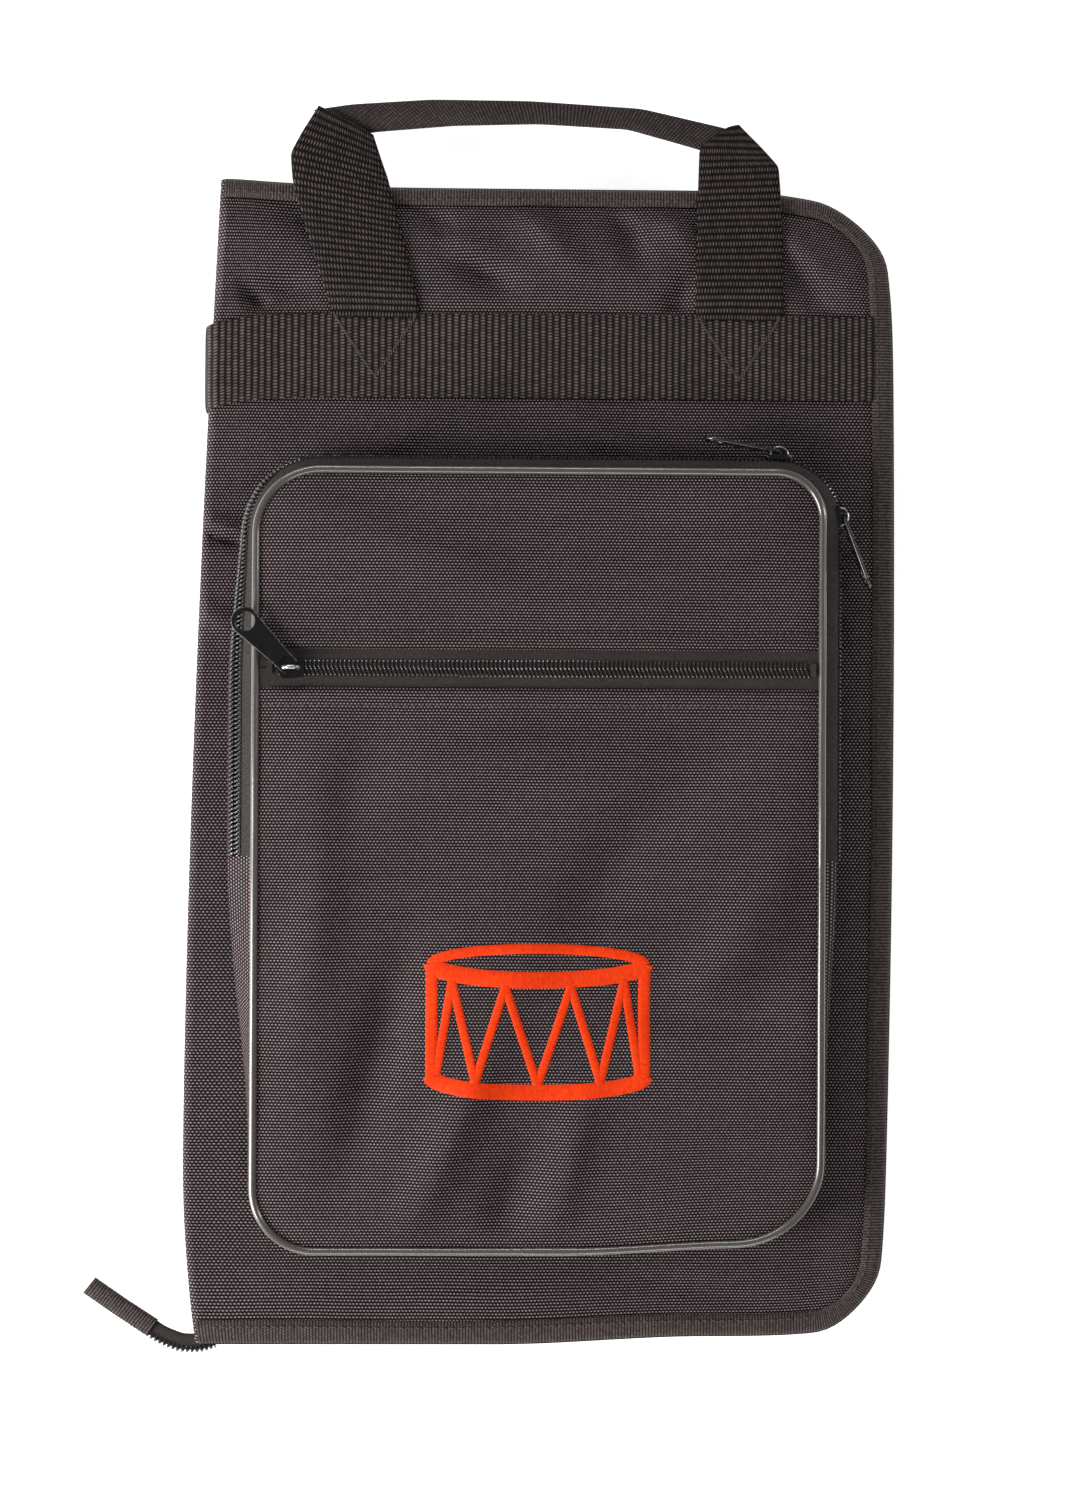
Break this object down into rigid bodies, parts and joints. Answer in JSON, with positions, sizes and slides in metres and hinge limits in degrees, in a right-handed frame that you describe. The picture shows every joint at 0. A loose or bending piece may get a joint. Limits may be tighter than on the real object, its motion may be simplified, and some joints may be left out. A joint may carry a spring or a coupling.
{
  "type": "drum stick bag",
  "caption": "Book-style padded drum stick bag: zipped covers on a fabric spine, piped front pocket with a fold-down flap, small zip pocket, webbing band and carrying handle.",
  "frame": {"origin": "centre of the back cover's outer face, on which the bag lies", "axes": "+X from the spine to the opening edge, +Y towards the carrying handle, +Z out of the front cover"},
  "size_m": [0.3401, 0.5365, 0.0626],
  "materials": {
    "oxford_fabric": "woven, charcoal black",
    "lining_fabric": "plain woven nylon, black",
    "foam": "soft foam board",
    "binding_tape": "ribbed tape, charcoal",
    "webbing": "ribbed polypropylene webbing, charcoal",
    "zip_coil": "nylon coil, black",
    "zip_tape": "woven tape, black",
    "piping_vinyl": "glossy vinyl, black",
    "slider_metal": "satin black enamel",
    "embroidery": "satin-stitched thread, red-orange"
  },
  "bodies": {
    "back_cover": {"back_fabric": "oxford_fabric", "back_foam": "foam", "back_lining": "lining_fabric", "back_binding": "binding_tape", "back_band": "webbing", "back_zip_tape": "zip_tape", "back_zip_coil": "zip_coil", "back_stick_pocket": "lining_fabric"},
    "spine": {"spine_fabric": "oxford_fabric", "spine_band": "webbing"},
    "front_cover": {"front_fabric": "oxford_fabric", "front_foam": "foam", "front_lining": "lining_fabric", "front_binding": "binding_tape", "front_band": "webbing", "front_zip_tape": "zip_tape", "front_zip_coil": "zip_coil", "front_stick_pocket": "lining_fabric", "pocket_lower_shell": "oxford_fabric", "pocket_gusset": "oxford_fabric", "gusset_zip_tape": "zip_tape", "gusset_zip_coil": "zip_coil", "pocket_lower_piping": "piping_vinyl", "badge": "embroidery"},
    "pocket_flap": {"flap_upper_face": "oxford_fabric", "flap_lower_face": "oxford_fabric", "flap_piping": "piping_vinyl", "flap_zip_tape": "zip_tape", "flap_zip_coil": "zip_coil", "small_zip_tape": "zip_tape", "small_zip_coils": "zip_coil", "small_zip_stops": "zip_coil", "small_pocket_lining": "lining_fabric"},
    "handle": {"handle_left_leg": "webbing", "handle_right_leg": "webbing", "handle_grip": "webbing"},
    "tail": {"zip_tail": "zip_tape", "zip_tail_tab": "binding_tape"},
    "small_zip_slider": {"small_slider": "slider_metal"},
    "small_zip_pull": {"small_pull": "slider_metal"},
    "top_zip_slider": {"pocket_top_slider": "slider_metal"},
    "top_zip_pull": {"pocket_top_pull": "slider_metal"},
    "side_zip_slider": {"pocket_side_slider": "slider_metal"},
    "side_zip_pull": {"pocket_side_pull": "slider_metal"},
    "main_zip_slider": {"main_slider": "slider_metal"},
    "main_zip_pull": {"main_pull": "slider_metal"}
  },
  "joints": [
    {"name": "spine_fold", "type": "hinge", "parent": "back_cover", "child": "spine", "pos_m": [-0.1475, 0, 0.00615], "axis": [0, -1, 0], "range_deg": [0, 90]},
    {"name": "front_fold", "type": "hinge", "parent": "spine", "child": "front_cover", "pos_m": [-0.1475, 0, 0.02785], "axis": [0, -1, 0], "range_deg": [0, 90]},
    {"name": "tail_swing", "type": "hinge", "parent": "back_cover", "child": "tail", "pos_m": [-0.145, -0.249, 0.016], "axis": [0, 0, 1], "range_deg": [0, 110]},
    {"name": "handle_swing", "type": "hinge", "parent": "front_cover", "child": "handle", "pos_m": [0, 0.1916, 0.038], "axis": [1, 0, 0], "range_deg": [0, 150]},
    {"name": "flap_fold", "type": "hinge", "parent": "front_cover", "child": "pocket_flap", "pos_m": [0, -0.041, 0.0575], "axis": [1, 0, 0], "range_deg": [0, 150]},
    {"name": "small_zip_slide", "type": "slide", "parent": "pocket_flap", "child": "small_zip_slider", "axis": [1, 0, 0], "range_m": [0, 0.205]},
    {"name": "small_pull_swing", "type": "hinge", "parent": "small_zip_slider", "child": "small_zip_pull", "pos_m": [-0.107, 0.0387, 0.0606], "axis": [0.7071, 0.7071, 0], "range_deg": [0, 150]},
    {"name": "top_zip_slide", "type": "slide", "parent": "pocket_flap", "child": "top_zip_slider", "axis": [-1, 0, 0], "range_m": [0, 0.185]},
    {"name": "top_pull_swing", "type": "hinge", "parent": "top_zip_slider", "child": "top_zip_pull", "pos_m": [0.0983, 0.1316, 0.0472], "axis": [0, 0, -1], "range_deg": [-8, 120]},
    {"name": "side_zip_slide", "type": "slide", "parent": "pocket_flap", "child": "side_zip_slider", "axis": [0, -1, 0], "range_m": [0, 0.135]},
    {"name": "side_pull_swing", "type": "hinge", "parent": "side_zip_slider", "child": "side_zip_pull", "pos_m": [0.1256, 0.1043, 0.0472], "axis": [0, 0, 1], "range_deg": [-18, 120]},
    {"name": "main_zip_slide", "type": "slide", "parent": "back_cover", "child": "main_zip_slider", "axis": [1, 0, 0], "range_m": [0, 0.2]},
    {"name": "main_pull_swing", "type": "hinge", "parent": "main_zip_slider", "child": "main_zip_pull", "pos_m": [-0.112, 0.2446, 0.017], "axis": [0, 0, 1], "range_deg": [0, 150]}
  ],
  "couplings": [
    {"joint": "spine_fold", "follows": "front_fold", "ratio": 1},
    {"joint": "tail_swing", "follows": "front_fold", "ratio": 1.2}
  ]
}
